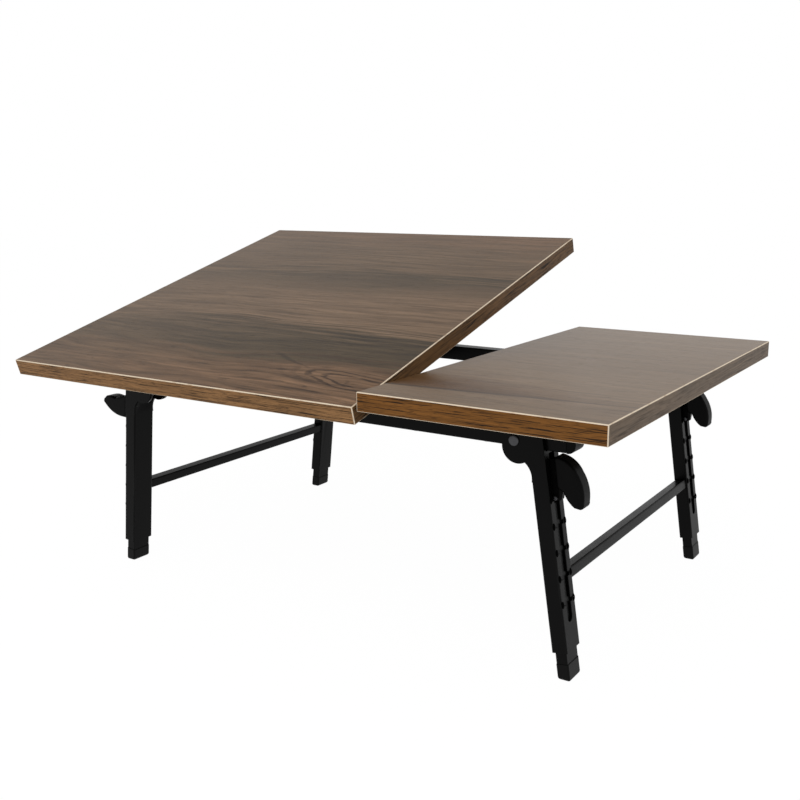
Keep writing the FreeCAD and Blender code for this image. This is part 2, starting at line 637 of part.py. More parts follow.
def pivot_bolt():
    """Bolt through both cheeks and the rail, with a low domed head."""
    head_y = -half_width - CLEAR
    shank = rod(BOLT_R, (0, head_y, 0), Y, SLEEVE_WIDTH + 2 * CLEAR + NUT_THICK)
    head = rod(BOLT_HEAD_R, (0, head_y - BOLT_HEAD, 0), Y, BOLT_HEAD)
    rim = [e for e in head.Edges if e.Closed and abs(e.Vertexes[0].Y - head_y + BOLT_HEAD) < 1e-6]
    head = head.makeFillet(BOLT_HEAD * 0.6, rim)
    return shank.fuse(head).removeSplitter()


def pivot_nut():
    """Hexagon nut on the bolt's inner end."""
    turns = [math.radians(60 * k) for k in range(6)]
    corners = [(NUT_R * math.cos(turn), NUT_R * math.sin(turn)) for turn in turns]
    nut = slab(corners, half_width + CLEAR, half_width + CLEAR + NUT_THICK)
    return nut.cut(rod(BOLT_R + FIT, (0, half_width + CLEAR, 0), Y, NUT_THICK))


def pivot_bush():
    """Bush round the bolt between the rail's walls."""
    half = RAIL / 2 - RAIL_WALL
    bush = rod(BUSH_R, (0, -half, 0), Y, 2 * half)
    return bush.cut(rod(BOLT_R + FIT, (0, -half, 0), Y, 2 * half))


def cross_bar():
    """Tube between the front and rear sleeve, drawn from the front leg's middle."""
    y0 = half_width - BAR_SEAT + FIT
    y1 = rear_rail_y - front_rail_y - y0
    low = -bar_u - BAR_HEIGHT / 2
    outer = box(LEG_OFFSET - BAR_WIDTH / 2, LEG_OFFSET + BAR_WIDTH / 2, y0, y1, low, low + BAR_HEIGHT)
    hole = box(LEG_OFFSET - BAR_WIDTH / 2 + BAR_WALL, LEG_OFFSET + BAR_WIDTH / 2 - BAR_WALL, y0, y1,
               low + BAR_WALL, low + BAR_HEIGHT - BAR_WALL)
    return outer.cut(hole)


floor_cut = box(-TABLE_WIDTH, TABLE_WIDTH, -TABLE_DEPTH, TABLE_DEPTH, -TABLE_HEIGHT, 0)
for side in ("left", "right"):
    save(side + "_pivot_bolts", *[place(pivot_bolt(), side, end) for end in ("front", "rear")])
    save(side + "_pivot_nuts", *[place(pivot_nut(), side, end) for end in ("front", "rear")])
    save(side + "_cross_bar", place(cross_bar(), side, "front"))
    for end in ("front", "rear"):
        corner = side + "_" + end
        save(corner + "_sleeve", place(sleeve(), side, end))
        save(corner + "_inner_leg", place(inner_leg(), side, end))
        save(corner + "_foot_cap", place(foot_cap(), side, end).cut(floor_cut))
        pin = rod(LEVER_PIN_R, (LEG_OFFSET, -inner_width / 2, -LEVER_PIN_U), Y, inner_width)
        save(corner + "_lever_pin", place(pin, side, end))
        save(corner + "_lever", place(lever(side), side, end))
        save(corner + "_lock_pin", place(lock_pin(), side, end))
spots = [(side, end) for side in ("left", "right") for end in ("front", "rear")]
save("pivot_bushes", *[place(pivot_bush(), side, end) for side, end in spots])
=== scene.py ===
# %% [markdown]
# # A folding laptop table
# The table has two boards with a printed walnut face on a black steel frame. The wide board tilts up on
# hinges, the narrow one stays level, and four telescopic legs fold in under them. The CAD frame already
# holds every part at its true size, so this lesson only dresses it: finishes, rounded edges and small
# repeated details. We load the frame first. Dressing must not make it bigger.

# %% Load the imported frame
import json
import math
import bmesh
import bpy
from mathutils import Matrix, Vector


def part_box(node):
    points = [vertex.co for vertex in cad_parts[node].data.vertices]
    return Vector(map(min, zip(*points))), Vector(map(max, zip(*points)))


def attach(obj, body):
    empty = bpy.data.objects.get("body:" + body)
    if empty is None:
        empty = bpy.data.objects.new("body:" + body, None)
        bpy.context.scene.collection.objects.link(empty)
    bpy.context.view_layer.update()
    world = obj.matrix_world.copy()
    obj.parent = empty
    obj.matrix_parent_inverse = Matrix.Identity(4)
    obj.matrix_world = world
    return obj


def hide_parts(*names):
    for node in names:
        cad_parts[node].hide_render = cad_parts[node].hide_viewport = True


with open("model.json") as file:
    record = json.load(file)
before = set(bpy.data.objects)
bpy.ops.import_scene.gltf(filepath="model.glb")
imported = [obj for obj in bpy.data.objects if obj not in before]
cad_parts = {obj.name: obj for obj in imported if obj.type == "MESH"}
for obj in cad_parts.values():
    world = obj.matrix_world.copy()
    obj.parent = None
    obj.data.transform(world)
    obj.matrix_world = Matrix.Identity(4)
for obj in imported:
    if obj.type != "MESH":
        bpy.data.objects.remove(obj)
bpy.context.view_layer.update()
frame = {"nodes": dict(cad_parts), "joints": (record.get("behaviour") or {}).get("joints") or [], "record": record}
record = frame["record"]
body_of_node = {node: body for body, nodes in record["behaviour"]["bodies"].items() for node in nodes}
slot_of_node = {part["node"]: part["material_slot"] for part in record["subparts"]}
joints = {joint["name"]: joint for joint in frame["joints"]}

# %% [markdown]
# ## The tilted board's own flat frame
# The wide board stands raised at rest. Its grain and its edges are easier to describe while it lies flat,
# so we keep two matrices: one that lays the board down about its hinge axis, and one that raises it again.

# %% Lay flat and raise
hinge_axis = Vector(joints["top_tilt"]["pos_m"])
rest_tilt = math.radians(-joints["top_tilt"]["range_deg"][0])
level = Matrix.Identity(4)
raised = Matrix.Translation(hinge_axis) @ Matrix.Rotation(rest_tilt, 4, "X") @ Matrix.Translation(-hinge_axis)
laid_flat = raised.inverted()
print("board raised by", round(math.degrees(rest_tilt), 2), "degrees")

# %% [markdown]
# ## Camera
# The camera stands in front of the table and to its right, a little above the boards. Its place came from
# matching the corners of the level board, so we build its axes from a turn, a dip and a small roll. The
# focal length and the shift are given for a square picture of 800 pixels.

# %% Camera at the photograph's angle
PICTURE = 800.0
FOCAL_PX = 989.6
CENTRE_PX = (436.5, 425.3)
SENSOR_MM = 36.0
CAMERA_AT = (0.53266, -0.77426, 0.36273)
CAMERA_DEG = {"turn": -32.17, "dip": 13.74, "roll": -0.24}


def put(name, data):
    """A new object in the scene."""
    made = bpy.data.objects.new(name, data)
    bpy.context.scene.collection.objects.link(made)
    return made


turn, dip, roll = [math.radians(CAMERA_DEG[move]) for move in ("turn", "dip", "roll")]
ahead = Vector((math.sin(turn) * math.cos(dip), math.cos(turn) * math.cos(dip), -math.sin(dip)))
side = Vector((math.cos(turn), -math.sin(turn), 0.0))
over = side.cross(ahead)
rolled_side = side * math.cos(roll) + over * math.sin(roll)
rolled_over = over * math.cos(roll) - side * math.sin(roll)
axes = Matrix((rolled_side, rolled_over, -ahead)).transposed()
lens = bpy.data.cameras.new("camera")
lens.sensor_fit = "HORIZONTAL"
lens.sensor_width = SENSOR_MM
lens.lens = FOCAL_PX / PICTURE * SENSOR_MM
lens.shift_x = (PICTURE / 2 - CENTRE_PX[0]) / PICTURE
lens.shift_y = (CENTRE_PX[1] - PICTURE / 2) / PICTURE
camera = put("camera", lens)
camera.matrix_world = Matrix.Translation(CAMERA_AT) @ axes.to_4x4()
bpy.context.scene.camera = camera
print("lens", round(lens.lens, 2), "shift", round(lens.shift_x, 4), round(lens.shift_y, 4))

# %% [markdown]
# ## Writing node trees as sums
# A finish is a tree of nodes, and most of them are plain arithmetic. Wiring each one by hand hides the
# idea, so a small class wraps a socket and lets Python's own signs add the Math nodes.

# %% Sockets that can be added and multiplied
class Sock:
    """An output socket that takes part in arithmetic."""

    def __init__(self, tree, socket):
        self.tree = tree
        self.socket = socket

    def also(self, out):
        """Another output of the same node."""
        return Sock(self.tree, find_socket(self.socket.node.outputs, out))

    def __add__(self, other):
        return self.tree.maths("ADD", self, other)

    def __radd__(self, other):
        return self.tree.maths("ADD", other, self)

    def __sub__(self, other):
        return self.tree.maths("SUBTRACT", self, other)

    def __rsub__(self, other):
        return self.tree.maths("SUBTRACT", other, self)

    def __mul__(self, other):
        return self.tree.maths("MULTIPLY", self, other)

    def __rmul__(self, other):
        return self.tree.maths("MULTIPLY", other, self)

    def __truediv__(self, other):
        return self.tree.maths("DIVIDE", self, other)

    def __rtruediv__(self, other):
        return self.tree.maths("DIVIDE", other, self)

    def __pow__(self, other):
        return self.tree.maths("POWER", self, other)

    def __rpow__(self, other):
        return self.tree.maths("POWER", other, self)


print("sockets take part in sums")

# %% [markdown]
# ## One way to add a node
# Every other node comes from one method, which sets the node up first and then fills or links its sockets.
# A socket is found by its identifier where two share a name, as the inputs of Math and Mix nodes do.

# %% Trees written as expressions
def find_socket(sockets, key):
    """A socket by its identifier, or else by its name."""
    for socket in sockets:
        if socket.identifier == key:
            return socket
    for socket in sockets:
        if socket.name == key and socket.enabled:
            return socket
    raise KeyError(key)


class Tree:
    """A node tree that is written as expressions."""

    def __init__(self, node_tree):
        self.node_tree = node_tree

    def node(self, kind, settings=None, sockets=None, out=None):
        """Add one node: its settings first, then its socket values or links; gives back one output."""
        made = self.node_tree.nodes.new(kind)
        for key, value in (settings or {}).items():
            if key == "stops":
                self.set_stops(made.color_ramp, value)
            else:
                setattr(made, key, value)
        for key, value in (sockets or {}).items():
            self.feed(find_socket(made.inputs, key), value)
        if not made.outputs:
            return None
        return Sock(self, find_socket(made.outputs, out) if out else made.outputs[0])

    def feed(self, socket, value):
        """Link a socket to an expression, or give it a constant."""
        if isinstance(value, Sock):
            self.node_tree.links.new(value.socket, socket)
        else:
            socket.default_value = value

    @staticmethod
    def set_stops(ramp, stops):
        """Fill a colour ramp with (place, colour) stops."""
        while len(ramp.elements) > 1:
            ramp.elements.remove(ramp.elements[-1])
        ramp.elements[0].position = stops[0][0]
        ramp.elements[0].color = stops[0][1]
        for place, colour in stops[1:]:
            ramp.elements.new(place).color = colour

    def maths(self, operation, first, second=0.0):
        """One Math node."""
        return self.node("ShaderNodeMath", {"operation": operation}, {"Value": first, "Value_001": second})


print("node helpers ready")

# %% [markdown]
# ## Helpers for finishes
# All our patterns read Object coordinates, which are metres in the CAD frame because every piece sits at
# the origin. A Mapping node turns them into millimetres and, for the raised board, lays them flat again,
# so that the grain follows the wood. Noise stretched along one axis gives grain; mixing and ramps colour it.

# %% Finish helpers
MM = 1000


class Finish(Tree):
    """A material on one Principled shader, with helpers for patterns in millimetres."""

    def __init__(self, name, **constants):
        self.material = bpy.data.materials.new(name)
        self.material.use_nodes = True
        super().__init__(self.material.node_tree)
        self.shader = self.node_tree.nodes["Principled BSDF"]
        for key, value in constants.items():
            self.set(key.replace("_", " "), value)

    def set(self, name, value):
        """Give one socket of the shader a constant or an expression."""
        self.feed(find_socket(self.shader.inputs, name), value)

    def place(self, lay=level):
        """Object coordinates in millimetres, laid flat by a matrix, as three numbers."""
        point = self.node("ShaderNodeTexCoord", out="Object")
        moved = {"Location": lay.to_translation() * MM, "Rotation": lay.to_euler(), "Scale": (MM, MM, MM)}
        point = self.node("ShaderNodeMapping", {"vector_type": "POINT"}, {"Vector": point, **moved})
        x = self.node("ShaderNodeSeparateXYZ", {}, {"Vector": point}, out="X")
        return x, x.also("Y"), x.also("Z")

    def noise(self, x, y, z, detail=2.0, roughness=0.5):
        """Soft noise from 0 to 1 at a point whose axes may be stretched."""
        point = self.node("ShaderNodeCombineXYZ", {}, {"X": x, "Y": y, "Z": z})
        sockets = {"Vector": point, "Scale": 1.0, "Detail": detail, "Roughness": roughness}
        return self.node("ShaderNodeTexNoise", {}, sockets)

    def step_up(self, value, low, high):
        """0 below low, 1 above high, smooth between."""
        sockets = {"Value": value, "From Min": low, "From Max": high}
        return self.node("ShaderNodeMapRange", {"interpolation_type": "SMOOTHSTEP"}, sockets)

    def ramp(self, value, stops):
        """A colour for each value."""
        return self.node("ShaderNodeValToRGB", {"stops": stops}, {"Fac": value}, out="Color")

    def mix(self, amount, first, second, blend="MIX"):
        """Two colours mixed."""
        sockets = {"Factor_Float": amount, "A_Color": first, "B_Color": second}
        settings = {"data_type": "RGBA", "blend_type": blend}
        return self.node("ShaderNodeMix", settings, sockets, out="Result_Color")

    def relief(self, height, depth, strength):
        """A Bump node on the shader's Normal, its depth in metres."""
        sockets = {"Height": height, "Distance": depth, "Strength": strength}
        self.set("Normal", self.node("ShaderNodeBump", {}, sockets))


def rgba(red, green, blue):
    """A colour with full alpha."""
    return (red, green, blue, 1.0)


print("finish helpers ready")

# %% [markdown]
# ## Floor and light
# The table stands on plain white. The floor and the world show white to the camera and to reflections,
# while the light that falls on the table stays at a plain level, so colours come out as written. The
# floor still takes a little of the table's shadow, which is enough to stand it on the ground. Its glow is
# a shade over 1, so that the glow and the floor's own grey add up to the white of the world behind it.

# %% White world
WORLD_LIGHT = 0.62
world = bpy.data.worlds.new("studio")
world.use_nodes = True
bpy.context.scene.world = world
bpy.context.scene.view_settings.view_transform = "Standard"
sky = Tree(world.node_tree)
path = sky.node("ShaderNodeLightPath", out="Is Camera Ray")
seen = sky.maths("MAXIMUM", path, path.also("Is Glossy Ray"))
seen = sky.maths("MAXIMUM", seen, path.also("Is Transmission Ray"))
backdrop = world.node_tree.nodes["Background"]
backdrop.inputs["Color"].default_value = rgba(1.0, 1.0, 1.0)
sky.feed(backdrop.inputs["Strength"], seen * (1.0 - WORLD_LIGHT) + WORLD_LIGHT)
print("world lights the table at", WORLD_LIGHT)

# %% White floor
FLOOR_HALF = 6.0
FLOOR_GREY = 0.8
FLOOR_WHITE = 0.965
FLOOR_GLOW = 1.018
floor_mesh = bpy.data.meshes.new("floor")
floor_corners = [(x * FLOOR_HALF, y * FLOOR_HALF, 0) for x, y in ((-1, -1), (1, -1), (1, 1), (-1, 1))]
floor_mesh.from_pydata(floor_corners, [], [(0, 1, 2, 3)])
floor = put("floor", floor_mesh)
ground = bpy.data.materials.new("white_floor")
ground.use_nodes = True
ground.node_tree.nodes.clear()
paper = Tree(ground.node_tree)
path = paper.node("ShaderNodeLightPath", out="Is Camera Ray")
seen = paper.maths("MAXIMUM", path, path.also("Is Glossy Ray"))
matte = paper.node("ShaderNodeBsdfDiffuse", {}, {"Color": rgba(FLOOR_GREY, FLOOR_GREY, FLOOR_GREY)})
glow = paper.node("ShaderNodeEmission", {}, {"Color": rgba(1.0, 1.0, 1.0), "Strength": FLOOR_GLOW})
shares = {"Fac": seen * FLOOR_WHITE, "Shader": matte, "Shader_001": glow}
blend = paper.node("ShaderNodeMixShader", {}, shares)
paper.node("ShaderNodeOutputMaterial", {}, {"Surface": blend})
floor_mesh.materials.append(ground)
print("floor of", 2 * FLOOR_HALF, "m")

# %% Soft lamp
LAMP_AT = Vector((0.5, -1.5, 1.7))
LAMP_AIM = Vector((0, 0, 0.15))
softbox = bpy.data.lights.new("softbox", "AREA")
softbox.size = 1.6
softbox.energy = 16.0
lamp = put("softbox", softbox)
lamp.location = LAMP_AT
lamp.rotation_euler = (LAMP_AIM - LAMP_AT).to_track_quat("-Z", "Y").to_euler()
print("lamp of", softbox.energy, "W")

# %% [markdown]
# ## A knot in the wide board
# The boards' faces are a laminate: a walnut print under a thin satin film. An image could carry it, but
# noise and a few curves give a print of our own that stays sharp at any distance. We start with the
# mark that the eye finds first, a knot near the front. It pushes the grain lines apart, its flame of dark
# broken arcs opens to the right, and a short branch runs off to the left. All lengths are millimetres:
# x along the boards, and depth back from the front edge.

# %% Knot and branch
KNOT_MM = (67.0, 39.0)
KNOT_REACH = (43.0, 12.0)
KNOT_SLANT = 0.17
KNOT_TAIL = 0.5
KNOT_RINGS = 15.0
BRANCH_MM = (19.0, 51.0)
BRANCH_SLANT = 0.41


def flame_knot(wood, x, depth, line):
    """Grain lines pushed apart round a knot, the dark broken arcs of its flame, and a side branch."""
    along = x - KNOT_MM[0]
    blotch = wood.noise(x * 0.026, depth * 0.10, 71.0, 3.0) - 0.5
    back = depth - KNOT_MM[1] + along * KNOT_SLANT
    near = along * along * 0.0003 + back * back * 0.0016
    line = line - 2.718 ** (near * -1.0) * 9.0 * wood.maths("TANH", back * 0.06)
    drawn = wood.maths("MINIMUM", along, along * KNOT_TAIL)
    reach = ((drawn / KNOT_REACH[0]) ** 2.0 + (back / KNOT_REACH[1]) ** 2.0) ** 0.5 + blotch * 0.6
    thin = wood.step_up(along + blotch * 60.0, -20.0, 60.0)
    wave = wood.maths("SINE", reach * KNOT_RINGS - 1.2)
    rings = wood.step_up(wave, thin * 0.6 - 0.2, thin * 0.2 + 0.8)
    broken = wood.step_up(wood.noise(x * 0.045, depth * 0.16, 77.0, 2.0), 0.28, 0.46)
    open_end = 1.0 - wood.step_up(along + back * 1.6 + blotch * 50.0, 10.0, 80.0)
    inside = wood.step_up(reach, 0.28, 0.42) * (1.0 - wood.step_up(reach, 0.95, 1.25)) * open_end * broken
    ripple = (1.0 - wood.step_up(reach, 1.1, 2.4)) * (1.0 - wood.step_up(along, -50.0, -16.0)) * 0.32
    stray = depth - BRANCH_MM[1] + (x - BRANCH_MM[0]) * BRANCH_SLANT + blotch * 9.0
    fade = wood.step_up(x, -46.0, -20.0) * (1.0 - wood.step_up(x, 8.0, 24.0))
    width = 3.4 - wood.step_up(x, -30.0, 10.0) * 1.6
    branch = (1.0 - wood.step_up(wood.maths("ABSOLUTE", stray), 0.2, width)) * fade * 0.62
    return line, wood.maths("MAXIMUM", rings * wood.maths("MAXIMUM", inside, ripple), branch)


print("knot", KNOT_MM[0], "mm along and", KNOT_MM[1], "mm back")

# %% [markdown]
# ## A joint in the narrow board
# The narrow board's print shows two planks side by side. Their joint is one dark line, slightly out of
# true with the edge. Behind it a warm dark patch fades to the colour of the rest. It is a painted
# reflection of the tilting board's side in the film, and it is strongest nearest that board.

# %% Plank joint and painted reflection
SEAM_MM = 30.0
SEAM_SLANT = 0.0837


def plank_seam(wood, x, depth):
    """The dark joint of two printed planks, and behind it a painted reflection of the tilting board that fades
    away.
    """
    ragged = wood.noise(x * 0.03, depth * 0.2, 91.0, 2.0) - 0.5
    past = depth - SEAM_MM - x * SEAM_SLANT
    joint = 1.0 - wood.step_up(wood.maths("ABSOLUTE", past + ragged * 1.6), 0.8, 3.6)
    # Painted reflection: a warm dark patch behind the joint, strongest near the tilting board, standing for that
    # board mirrored in the film.
    painted_reflection = wood.step_up(past, -2.0, 2.0) * (1.0 - wood.step_up(past + ragged * 40.0, 8.0, 96.0))
    painted_reflection = painted_reflection * (1.0 - wood.step_up(x + past + ragged * 60.0, 150.0, 340.0))
    return joint * (0.95 - wood.step_up(x, 140.0, 300.0) * 0.45), painted_reflection * 0.95


print("joint", SEAM_MM, "mm back, slanting by", SEAM_SLANT)

# %% [markdown]
# ## Printed walnut on the boards
# Real walnut drifts between warm brown and grey in broad lanes across the board, with long streaks, fine
# threads and short dark pores along it. Each of these is one stretched noise, and a slow wander bends them
# all together, so they look grown rather than ruled. The undersides carry a plain dull backing paper, so
# there the print fades out and the roughness rises.

# %% Walnut laminate
FRONT_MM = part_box("fixed_board_edge_bands")[0].y * MM
MIDDLE_MM = (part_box("fixed_board")[0].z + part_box("fixed_board")[1].z) / 2 * MM
BOARD_DEEP_MM = 400.0
NARROW_VIVID = 0.5
warm, pale = rgba(0.144, 0.079, 0.040), rgba(0.160, 0.099, 0.056)
dusk, ash = rgba(0.056, 0.036, 0.017), rgba(0.121, 0.074, 0.039)
# The last colour on the next line is the warm dark brown of the painted reflection on the narrow board.
earth, sand, painted_reflection_tone = rgba(0.150, 0.094, 0.050), rgba(0.180, 0.117, 0.066), rgba(0.082, 0.037, 0.011)
backing = rgba(0.110, 0.066, 0.038)
wide_lanes = [(0.0, warm), (0.12, warm), (0.19, dusk), (0.29, dusk), (0.36, pale), (0.54, pale),
              (0.64, dusk), (0.71, ash), (0.84, ash), (1.0, warm)]
narrow_lanes = [(0.0, earth), (0.13, earth), (0.2, sand), (0.5, earth), (1.0, sand)]


def walnut_face(name, wide, lay, lanes, mean, seed, gloss):
    """Laminate with broad lanes across the board, and streaks, threads and pores along it."""
    wood = Finish(name, Specular_IOR_Level=gloss)
    x, y, z = wood.place(lay)
    depth = y - FRONT_MM
    wander = wood.noise(x * 0.0045, depth * 0.014, seed) - 0.5
    line = depth + wander * 34.0
    if wide:
        line, mark = flame_knot(wood, x, depth, line)
        vivid = 1.0 + (1.0 - wood.step_up(depth, 24.0, 90.0)) * wood.step_up(x, -70.0, 40.0) * 0.6
    else:
        mark, painted_reflection = plank_seam(wood, x, depth)
        vivid = NARROW_VIVID
    streak = wood.noise(x * 0.005, line * 0.07, seed + 3, 3.0) - 0.5
    thread = wood.step_up(wood.noise(x * 0.0085, line * 0.30, seed + 7, 3.0, 0.65), 0.34, 0.66) - 0.5
    fibre = wood.noise(x * 0.05, line * 1.7, seed + 9, 2.0) - 0.5
    pore = wood.step_up(wood.noise(x * 0.085, line * 1.9, seed + 13, 1.0), 0.63, 0.73)
    grain = wood.step_up(wood.noise(x * 0.012, line * 0.13, seed + 5, 3.0, 0.6), 0.34, 0.66) - 0.5
    fleck = wood.step_up(wood.noise(x * 0.050, line * 0.16, seed + 17, 2.0), 0.62, 0.74)
    crisp = 1.0 - wood.step_up(depth, 70.0, 260.0) * 0.6
    strong = 0.35 + wood.step_up(x + streak * 300.0, -330.0, 40.0) * 0.65
    lane = line / BOARD_DEEP_MM + streak * 0.18 + thread * 0.055
    colour = wood.mix(strong, mean, wood.ramp(lane, lanes))
    if not wide:
        # Mix in the painted reflection of the tilting board as a warm dark brown.
        colour = wood.mix(painted_reflection, colour, painted_reflection_tone)
    shade = streak * 0.50 + thread * (0.2 + strong * 0.32) + grain * crisp * 0.46 + fibre * 0.60
    shade = (1.0 + shade * vivid) * (1.0 - pore * 0.26 * vivid) * (1.0 - fleck * crisp * 0.34 * vivid)
    shade = shade * (1.0 - mark * 0.70)
    warmer = {"Red": shade, "Green": shade * 1.06 - 0.06, "Blue": shade * 1.16 - 0.16}
    printed = wood.mix(1.0, colour, wood.node("ShaderNodeCombineColor", {}, warmer), "MULTIPLY")
    under = 1.0 - wood.step_up(z, MIDDLE_MM - 2.0, MIDDLE_MM + 2.0)
    wood.set("Base Color", wood.mix(under * 0.8, printed, backing))
    wood.set("Roughness", 0.30 + fibre * 0.16 + pore * 0.10 + under * 0.36)
    wood.relief(fibre - pore * 0.8, 0.00004, 0.5)
    return wood.material


wide_walnut = walnut_face("walnut_wide_board", True, laid_flat, wide_lanes, ash, 2.0, 0.05)
narrow_walnut = walnut_face("walnut_narrow_board", False, level, narrow_lanes, sand, 21.0, 0.062)
print("walnut on", wide_walnut.name, "and", narrow_walnut.name)

# %% [markdown]
# ## Edge banding and its bare rim
# The boards' edges carry a strip of printed paper foil: warmer than the faces, with short dark dashes
# along the edge. Where the strip was trimmed and rounded off, the pale board under the print shows as a
# thin cream line round each face. The strips run along two directions, so the finish takes the direction.
# Each edge also gets its own copy of the one foil, tinted to paint the light on it: lighter on the wide
# board's front as painted light, darker on its short sides as painted shade, and greyer on the narrow
# board's short sides as painted sheen.

# %% Edge foil and trimmed rim
FOIL_WAVE_MM = 3.4
FOIL_DARK, FOIL_LIGHT = 0.72, 1.32
foil_ink = rgba(0.014, 0.008, 0.005)
rim_cream, rim_soil = rgba(0.80, 0.67, 0.51), rgba(0.36, 0.23, 0.13)


def edge_foil(name, lay, lengthwise, seed, tint, bold=0.92):
    """Foil with dark dashes along the edge."""
    foil = Finish(name, Specular_IOR_Level=0.10)
    x, y, z = foil.place(lay)
    along = x if lengthwise else y
    rise = z + (foil.noise(along * 0.010, z * 0.08, seed) - 0.5) * FOIL_WAVE_MM
    base = foil.noise(along * 0.016, rise * 0.40, seed + 1, 3.0)
    dash = foil.step_up(foil.noise(along * 0.026, rise * 1.25, seed + 5, 2.0, 0.55), 0.555, 0.590)
    nick = foil.step_up(foil.noise(along * 0.11, rise * 1.8, seed + 8, 1.0), 0.60, 0.68)
    low, high = [rgba(*[part * share for part in tint]) for share in (FOIL_DARK, FOIL_LIGHT)]
    colour = foil.ramp(base, [(0.30, low), (0.70, high)])
    dark = foil.maths("MAXIMUM", dash * bold, nick * bold * 0.67)
    foil.set("Base Color", foil.mix(dark, colour, foil_ink))
    foil.set("Roughness", 0.46 + dark * 0.12)
    foil.relief(1.0 - dark, 0.00003, 0.5)
    return foil.material


def bare_rim():
    """The pale core at the trimmed corner, a little soiled in places."""
    rim = Finish("trimmed_rim", Specular_IOR_Level=0.3, Roughness=0.6)
    x, y, z = rim.place()
    soil = rim.step_up(rim.noise(x * 0.11, y * 0.11, z * 0.11, 3.0), 0.52, 0.76)
    rim.set("Base Color", rim.mix(soil * 0.6, rim_cream, rim_soil))
    return rim.material


# Painted light: the same foil in four tints, lighter on the wide front edge, darker as painted shade on the wide
# short sides, greyer as painted sheen on the narrow short sides.
lit_wide_front_tint, shaded_wide_side_tint = (0.262, 0.137, 0.056), (0.145, 0.076, 0.030)
deep_tint, sheen_grey_narrow_side_tint = (0.182, 0.075, 0.017), (0.140, 0.097, 0.062)
rim_core = bare_rim()
wide_foil = [edge_foil("foil_wide_long", laid_flat, True, 31.0, lit_wide_front_tint),
             edge_foil("foil_wide_short", laid_flat, False, 37.0, shaded_wide_side_tint)]
narrow_foil = [edge_foil("foil_narrow_long", level, True, 47.0, deep_tint),
               edge_foil("foil_narrow_short", level, False, 53.0, sheen_grey_narrow_side_tint, 0.60)]
print("edge foils", [m.name for m in wide_foil + narrow_foil])

# %% [markdown]
# ## Black finishes
# The frame is steel under black powder coat: nearly black, satin, with a fine pebbled skin. The levers,
# plugs and spacers are moulded plastic, a little smoother, and the feet are rubber. The pressed lugs down
# the legs get a darker, duller coat as painted shade, standing for the shadow in the notches they sit in.
# All four are so dark that their gloss does most of the work, so one function makes them, and roughness
# varies more than colour.

# %% Coated steel, plastic and rubber
def black_finish(name, shade, gloss, rough, pebble_mm, pebble_depth):
    """A near-black skin with fine pebbles and slow patches of handling."""
    skin = Finish(name, Specular_IOR_Level=gloss)
    x, y, z = skin.place()
    size = 1.0 / pebble_mm
    pebble = skin.noise(x * size, y * size, z * size, 2.0)
    patch = skin.noise(x * 0.035, y * 0.035, z * 0.035, 3.0, 0.6)
    tone = 0.72 + patch * 0.36 + pebble * 0.20
    skin.set("Base Color", skin.mix(1.0, rgba(shade, shade * 0.97, shade * 0.95), tone, "MULTIPLY"))
    skin.set("Roughness", rough + (patch - 0.5) * 0.16 + (pebble - 0.5) * 0.10)
    skin.relief(pebble, pebble_depth, 0.4)
    return skin.material


powder_coat = black_finish("black_powder_coat", 0.0016, 0.07, 0.34, 0.9, 0.00003)
moulded = black_finish("black_moulding", 0.0024, 0.05, 0.40, 1.6, 0.00002)
rubber = black_finish("black_rubber", 0.0024, 0.08, 0.40, 0.6, 0.00004)
# Painted shade: the lugs' coat is darker and duller than the frame's, standing for the shade in the notches.
notch_shade_coat = black_finish("black_notch_shade_coat", 0.0010, 0.01, 0.60, 0.9, 0.00003)
print("black finishes", powder_coat.name, moulded.name, rubber.name, notch_shade_coat.name)

# %% [markdown]
# ## Small metal
# Screws, bolts and pins are dark plated steel, and the hinge leaves and stays are bright zinc. Metal shows
# what is round it, so a soft grain in its roughness is what makes it look drawn and stamped, not mirrored.

# %% Dark plating and zinc
def plated(name, colour, rough):
    """Plated steel with a brushed, slightly clouded skin."""
    metal = Finish(name, Metallic=1.0)
    x, y, z = metal.place()
    cloud = metal.noise(x * 0.22, y * 0.22, z * 0.22, 3.0, 0.6)
    brush = metal.noise(x * 0.4, y * 6.0, z * 6.0, 2.0)
    metal.set("Base Color", metal.mix(1.0, rgba(*colour), 0.75 + cloud * 0.5, "MULTIPLY"))
    metal.set("Roughness", rough + (cloud - 0.5) * 0.20 + (brush - 0.5) * 0.12)
    metal.relief(brush, 0.00001, 0.4)
    return metal.material


dark_plate = plated("dark_plating", (0.070, 0.070, 0.074), 0.40)
zinc_plate = plated("zinc_plating", (0.55, 0.55, 0.54), 0.38)
finish_of_slot = {
    "walnut_laminate": narrow_walnut,
    "walnut_edge_band": narrow_foil[0],
    "black_steel": powder_coat,
    "black_plastic": moulded,
    "black_rubber": rubber,
    "dark_fastener": dark_plate,
    "zinc_steel": zinc_plate,
}
print("finishes for", len(finish_of_slot), "slots")

# %% [markdown]
# ## Finishes on the CAD nodes
# A CAD node whose shape is right keeps its mesh, and only takes a finish. We give one to every node by its
# slot in the record, and the wide board gets its own print. Nodes that are replaced later are hidden then.

# %% Dress the nodes
def paint(piece, *materials):
    """Set a piece's material slots, and keep which face uses which."""
    slots = piece.data.materials
    for k, material in enumerate(materials):
        if k < len(slots):
            slots[k] = material
        else:
            slots.append(material)


for node, piece in frame["nodes"].items():
    paint(piece, finish_of_slot[slot_of_node[node]])
paint(frame["nodes"]["tilting_board"], wide_walnut)
print("painted", len(frame["nodes"]), "nodes")

# %% [markdown]
# ## Edge bands with a trimmed corner
# The CAD bands are sharp rings round the boards. A sharp edge catches no light, and the real one has a
# fine cream line, so we make new rings: a frame of four walls whose outer corners are bevelled, with the
# bevel faces given to the bare rim. The wide ring is made flat and then raised, as the board was.

